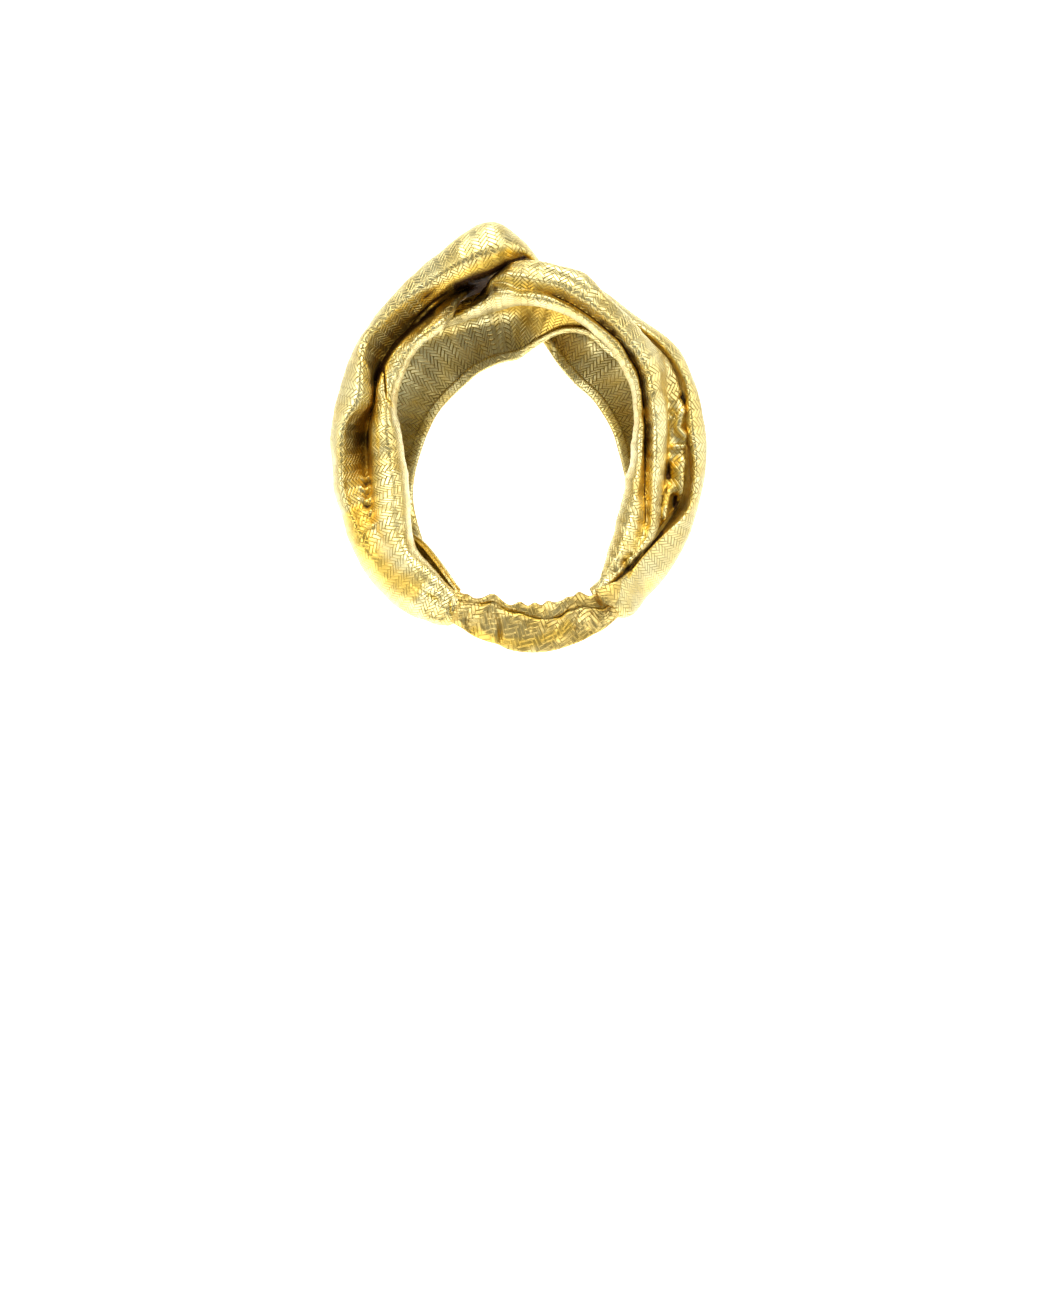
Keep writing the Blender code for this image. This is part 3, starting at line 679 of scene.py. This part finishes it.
def loftWrap(wrap):
    angles = np.array([row[0] for row in wrap["rows"]], float)
    folds = np.array([row[1:] for row in wrap["rows"]], float)
    spans = [np.linspace(first, last, n, endpoint=False) for first, last, n in wrap["stations"]]
    at = np.concatenate(spans + [[wrap["stations"][-1][1]]])
    flat = smoothRows(angles, folds.reshape(len(angles), -1), at).reshape(len(at), -1, 2)
    curves = []
    for section in flat:
        curve = sectionCurve(section, wrap["steps"])
        first = hemTurn(curve[0], curve[1], -wrap["hemRadius"], wrap["hemBack"])
        last = hemTurn(curve[-1], curve[-2], wrap["hemRadius"], wrap["hemBack"])
        curves.append(np.concatenate([first[::-1], curve, last]))
    curves = np.array(curves)
    grid = toHead(at[:, None], curves[..., 0], curves[..., 1])
    hemPoints = hemTurns + hemFlats
    fold = np.concatenate([np.linspace(k, k + 1, n, endpoint=False) for k, n in enumerate(wrap["steps"])])
    fold = np.concatenate([np.zeros(hemPoints), fold, [len(wrap["steps"])] * (hemPoints + 1)])
    return at, fold, grid


wrapSlack = [  # height in mm, cells along and across, seed
    (0.45, (36, 8), 3),
    (0.16, (110, 22), 4),
]


def shapeWrap(wrap, strokes):
    at, fold, grid = loftWrap(wrap)
    u = runs(grid, 0).mean(axis=1, keepdims=True) + 0 * grid[..., 0]
    v = runs(grid, 1)
    v = v - v[:, len(fold) // 2][:, None]
    normal = gridNormals(grid)
    grid = grid + normal * wrapDetail(wrap, fold, grid.shape[:2])[..., None]
    toCamera = np.clip(-normal[..., 1] * 1.4, 0, 1) * strokeLift(seenAt(grid), fold, strokes)
    grid[..., 1] -= toCamera
    return grid, u, v


def wrapDetail(wrap, fold, shape):  # slack in the cloth, none of it at the hems
    height = sum(size * softNoise(shape, cells, seed) for size, cells, seed in wrapSlack)
    fade = ramp(fold, 0.0, 1.0) * ramp(-fold, -len(wrap["steps"]), -len(wrap["steps"]) + 1.0)
    return height * fade[None]


def declareCloth(across, gathered=1.12):
    # the cut is a little larger than the gathered cloth that shows
    width = float((across.max(axis=1) - across.min(axis=1)).max()) * math.sqrt(gathered) * mm


def addWall(piece, thickness):
    wall = piece.modifiers.new("wall", "SOLIDIFY")
    wall.thickness = thickness * mm
    wall.offset = 0.0


def buildWrap(wrap, shaped, shade, material):
    grid, u, v = shaped
    piece = gridMesh(wrap["name"], grid, u, v, shade)
    addWall(piece, wrap["thickness"])
    piece.data.materials.append(material)
    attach(piece, "root")
    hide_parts(*wrap["nodes"])
    declareCloth(v)


napeBand = {
    "name": "napeBandCloth",
    "stations": 320,
    "casingSteps": 26,
    "headingSteps": 7,
    "casingPuff": 2.6,         # mm, on the side that shows
    "liningPuff": 1.8,         # mm, on the side against the head
    "stitchGroove": 1.9,       # mm deep
    "stitchHalf": 0.7,         # mm, half the groove's width
    "ruffleWave": 1.9,         # mm
    "gatherDepth": 0.7,        # mm, next to the stitch
    "edgeWave": 0.7,           # mm, of the heading's edge
    "stitchSway": 0.55,        # mm
    "ripple": 0.35,            # mm, on the casing
    "arcRadius": 110.0,        # mm, to measure the cloth along
    "rows": [                  # angle, top radius, stitch radius, bottom radius, depth
        (-211.3, 107.5, 112.6, 118.0, -48.5),
        (-209.3, 105.0, 112.5, 121.3, -53.8),
        (-207.0, 103.5, 112.2, 122.6, -55.6),
        (-204.0, 101.0, 109.5, 124.0, -56.8),
        (-201.0, 98.6, 106.2, 124.4, -57.8),
        (-198.0, 99.4, 106.5, 125.4, -58.8),
        (-194.0, 98.6, 106.8, 126.2, -59.8),
        (-190.0, 98.8, 107.2, 127.0, -60.6),
        (-187.0, 98.0, 106.8, 127.2, -61.0),
        (-183.0, 98.4, 104.8, 126.8, -61.4),
        (-180.0, 97.2, 103.4, 126.0, -61.5),
        (-177.0, 97.8, 102.0, 124.8, -61.2),
        (-174.0, 96.3, 100.0, 122.4, -60.6),
        (-171.0, 94.0, 97.6, 121.6, -59.8),
        (-167.0, 96.0, 99.3, 120.2, -58.2),
        (-163.0, 97.5, 101.4, 117.6, -56.2),
        (-160.0, 98.0, 102.3, 116.5, -53.4),
        (-157.3, 98.3, 102.0, 114.5, -51.2),
        (-154.8, 100.0, 103.0, 110.0, -47.0),
    ],
}

bandStrokes = [  # as for the wraps, with fold 0 to 1 over the heading and 1 to 2 over the casing
    ((1.1, 2.0), -2.2, 1.4, 0, (-15.6, -105), (-12, -116), (-11.3, -129)),
    ((1.0, 2.0), 1.5, 3.0, 0, (-11.5, -107.5), (-4.4, -111), (6, -114)),
    ((1.0, 2.0), -1.5, 1.3, 0, (-31, -104), (-33, -114), (-30.5, -121)),
    ((0.5, 2.0), 1.8, 1.6, 0, (-36, -101), (-38, -110), (-36, -117)),
    ((1.0, 2.0), 1.2, 1.8, 0, (-25.6, -105), (-24.4, -114), (-20.6, -123)),
    ((1.0, 2.0), -1.1, 1.4, 0, (-20.6, -104), (-18, -112.5), (-15.5, -123)),
    ((1.0, 2.0), -1.6, 1.4, 0, (39, -106), (36.3, -114), (35.5, -123)),
    ((1.0, 2.0), -1.4, 1.5, 0, (45, -106), (49, -111), (53, -117)),
    ((1.0, 2.0), 1.4, 1.6, 0, (41, -106), (42, -114), (44.5, -120)),
    ((1.0, 2.0), 1.0, 2.2, 0, (29.4, -110), (25.6, -116), (23, -127)),
    ((1.0, 2.0), -0.8, 2.0, 0, (18, -114), (16.3, -121), (17, -130)),
    ((1.0, 2.0), -0.8, 1.8, 0, (5.6, -115), (7, -126)),
    ((1.0, 2.0), 1.2, 1.4, 0, (54.4, -107), (56, -114)),
]


def shapeBand(band, strokes):
    table = np.array(band["rows"])
    at = np.linspace(table[0, 0], table[-1, 0], band["stations"])
    rows = smoothRows(table[:, 0], table[:, 1:], at)
    along = np.concatenate([[0.0], np.cumsum(np.radians(np.diff(at)) * band["arcRadius"])])
    across = (np.arange(band["casingSteps"]) + 0.5) / band["casingSteps"]
    up = np.linspace(0, 1, band["headingSteps"])
    count = len(at)
    wave = band["ruffleWave"] * softNoise((count, 1), (12, 1), 13)[:, 0]
    wave += 0.4 * band["ruffleWave"] * softNoise((count, 1), (30, 1), 14)[:, 0]
    edge = band["edgeWave"] * softNoise((count, 1), (24, 1), 15)[:, 0]
    gather = softNoise((count, len(across)), (20, 2), 11)
    ripple = band["ripple"] * softNoise((count, len(across)), (26, 5), 12)
    ends = ramp(at, at[0], at[0] + 3.5) * ramp(-at, -at[-1], -at[-1] + 3.5)
    half, groove = band["stitchHalf"], band["stitchGroove"]
    sway = band["stitchSway"] * softNoise((count, 1), (22, 1), 16)[:, 0]
    grid = []
    for k, (top, stitch, bottom, depth) in enumerate(rows):
        top, stitch = top + edge[k], stitch + sway[k]
        headR = top + up * (stitch - half - top)
        lean = wave[k] * ends[k] * (1 - up) ** 0.8
        headY = depth - 1.0 - 0.6 * np.sin(math.pi * up) + lean
        casingR = stitch + half + across * (bottom - stitch - half)
        bulge = np.sin(math.pi * (0.06 + 0.94 * across)) ** 0.75
        pull = band["gatherDepth"] * gather[k] * np.exp(-3.0 * across) + ripple[k] * np.minimum(1, 4 * across)
        casingY = depth - 0.8 - (band["casingPuff"] * bulge + pull) * (0.35 + 0.65 * ends[k])
        liningY = depth + 0.5 + band["liningPuff"] * np.sin(math.pi * across) ** 0.8
        section = [(top - 0.5, depth - 0.1 + lean[0])] + list(zip(headR, headY))
        section += [(stitch, depth - 1.0 + groove)] + list(zip(casingR, casingY)) + [(bottom, depth)]
        section += list(zip(casingR[::-1], liningY[::-1])) + [(stitch, depth + 1.5)]
        section += list(zip(headR[::-1], headY[::-1] + 1.7))
        grid.append(section)
    fold = np.concatenate([[0.2], up, [1.0], 1 + across, [2.0], -5 * np.ones(len(across) + 1 + len(up))])
    grid = np.array(grid)
    grid = toHead(at[:, None], grid[..., 0], grid[..., 1])
    u = along[:, None] + 0 * grid[..., 0]
    v = runs(grid, 1).mean(axis=0, keepdims=True) + 0 * grid[..., 0]
    grid[..., 1] -= strokeLift(seenAt(grid), fold, strokes)
    return grid, u, v


def buildBand(band, shaped, shade, material):
    grid, u, v = shaped
    piece = gridMesh(band["name"], grid, u, v, shade, closed=True)
    piece.data.materials.append(material)
    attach(piece, "root")
    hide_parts("nape_band")
    shown = 3 + band["headingSteps"] + band["casingSteps"]  # the cut is folded over the elastic
    declareCloth(v[:, :shown])


seamTab = {
    "name": "seamTabCloth",
    "steps": 16,
    "bulge": 1.0,              # mm
    "thickness": 1.0,          # mm
    # places in the rear view and depth, in mm
    "top": ((47.3, -93.8, -60.5), (55.6, -90.4, -57.5), (64.1, -87.5, -54)),
    "bottom": ((53.1, -101.9, -62.5), (59.1, -103.8, -61.5), (62.8, -98, -57.5)),
}


def shapeTab(tab):
    at = np.linspace(0, 2, tab["steps"])
    top = smoothRows(np.arange(3.0), np.array(tab["top"], float), at)
    bottom = smoothRows(np.arange(3.0), np.array(tab["bottom"], float), at)
    share = np.linspace(0, 1, tab["steps"])[None, :, None]
    seen = top[:, None] * (1 - share) + bottom[:, None] * share
    depth = seen[..., 2] - tab["bulge"] * np.sin(math.pi * at / 2)[:, None] * np.sin(math.pi * share[..., 0])
    depth += 0.4 * np.sin(2.2 * math.pi * share[..., 0] + 2 * at[:, None])
    spread = 1 + depth / viewDistance
    grid = np.stack([seen[..., 0] * spread, depth, seen[..., 1] * spread], -1)
    return grid, runs(grid, 0), runs(grid, 1)


def buildTab(tab, shaped, material):
    grid, u, v = shaped
    piece = gridMesh(tab["name"], grid, u, v, np.zeros(u.shape))
    addWall(piece, tab["thickness"])
    piece.data.materials.append(material)
    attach(piece, "root")
    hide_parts("nape_band")
    declareCloth(v, 1.02)


stageLooks = {
    "floorBelow": 0.53,        # m, under the middle of the head
    "floorFrom": -0.35,        # m
    "wallBehind": 1.6,         # m
    "bend": 0.5,               # m
    "halfWidth": 1.5,          # m
    "wallHeight": 4.0,         # m
    "bendSteps": 12,
    "white": (0.93, 0.93, 0.93),
    "glow": 0.95,
}


def buildStage(look):
    centre = headCentre * mm
    floor = centre[2] - look["floorBelow"]
    wall = centre[1] + look["wallBehind"]
    profile = [(centre[1] + look["floorFrom"], floor), (wall - look["bend"], floor)]
    for a in np.linspace(0, math.pi / 2, look["bendSteps"] + 1)[1:]:
        out, up = look["bend"] * math.sin(a), look["bend"] * (1 - math.cos(a))
        profile.append((wall - look["bend"] + out, floor + up))
    profile.append((wall, floor + look["wallHeight"]))
    points = [(side * look["halfWidth"], y, z) for y, z in profile for side in (-1, 1)]
    faces = [(2 * k, 2 * k + 1, 2 * k + 3, 2 * k + 2) for k in range(len(profile) - 1)]
    mesh = bpy.data.meshes.new("backdrop")
    mesh.from_pydata(points, [], faces)
    mesh.polygons.foreach_set("use_smooth", [True] * len(faces))
    backdrop = bpy.data.objects.new("backdrop", mesh)
    bpy.context.scene.collection.objects.link(backdrop)
    maker = Maker("paper")
    maker.put(maker.shader.inputs["Base Color"], look["white"])
    maker.shader.inputs["Roughness"].default_value = 0.9
    maker.put(maker.shader.inputs["Emission Color"], (1.0, 1.0, 1.0))
    maker.shader.inputs["Emission Strength"].default_value = look["glow"]
    mesh.materials.append(maker.material)


worldGlow = 0.22

lamps = {  # place about the head's middle in m, size in m, power in W
    "keyLeft": ((-1.20, -0.90, 0.65), 1.3, 15.5),
    "fillRight": ((1.20, -0.85, 0.70), 1.2, 8.5),
    "topSoft": ((0.15, -0.30, 1.25), 0.9, 12.0),
    "lowFront": ((0.0, -1.3, -0.7), 1.0, 0.3),
    "cardLeft": ((-1.50, 0.25, 0.30), 1.4, 6.0),
    "cardRight": ((1.50, 0.25, 0.30), 1.4, 8.0),
}


def buildLamps():
    centre = Vector(headCentre * mm)
    for name, (place, size, power) in lamps.items():
        lamp = bpy.data.lights.new(name, "AREA")
        lamp.size, lamp.energy = size, power
        holder = bpy.data.objects.new(name, lamp)
        holder.location = centre + Vector(place)
        holder.rotation_mode = "QUATERNION"
        holder.rotation_quaternion = Vector(place).to_track_quat("Z", "Y")
        bpy.context.scene.collection.objects.link(holder)
    world = bpy.data.worlds.new("studio")
    world.use_nodes = True
    background = world.node_tree.nodes["Background"]
    background.inputs["Color"].default_value = (1.0, 1.0, 1.0, 1)
    background.inputs["Strength"].default_value = worldGlow
    bpy.context.scene.world = world
    bpy.context.scene.view_settings.view_transform = "Standard"


photoView = {
    "tiltDegrees": 3.16,       # down
    "shift": -0.08,            # of the long side
    "lens": 53.17,             # mm on a 36 mm long side
    "side": 0.6,               # mm, how far the photo's middle is from the head's
}


def buildCamera(look):
    data = bpy.data.cameras.new("photoCamera")
    data.sensor_width, data.lens, data.shift_y = 36.0, look["lens"], look["shift"]
    data.clip_start, data.clip_end = 0.05, 20.0
    camera = bpy.data.objects.new("photoCamera", data)
    camera.location = Vector((headCentre + (look["side"], -viewDistance, 0)) * mm)
    camera.rotation_euler = (math.radians(90 - look["tiltDegrees"]), 0, 0)
    bpy.context.scene.collection.objects.link(camera)
    bpy.context.scene.camera = camera


buildCamera(photoView)
buildStage(stageLooks)
buildLamps()
print("stage, lamps and camera are set")
wrapGold = goldCloth("goldWrapCloth", clothLooks)
bandGold = goldCloth("goldBandCloth", bandLooks)
print("gold cloth is made")
over = shapeWrap(overWrap, overStrokes)
under = shapeWrap(underWrap, underStrokes)
band = shapeBand(napeBand, bandStrokes)
shades = shadeInFolds([(over[0], False), (under[0], False), (band[0], True)])
shades[0] += drawnShade(over[0]) * offTheFront(over[0], frontCloth)
shades[1] += drawnShade(under[0])
shades[2] += drawnShade(band[0])
print("the folds are shaped and shaded")
buildWrap(overWrap, over, shades[0], wrapGold)
buildWrap(underWrap, under, shades[1], wrapGold)
print("both wraps are made")
buildBand(napeBand, band, shades[2], bandGold)
buildTab(seamTab, shapeTab(seamTab), bandGold)
print("the nape band and its tab are made")
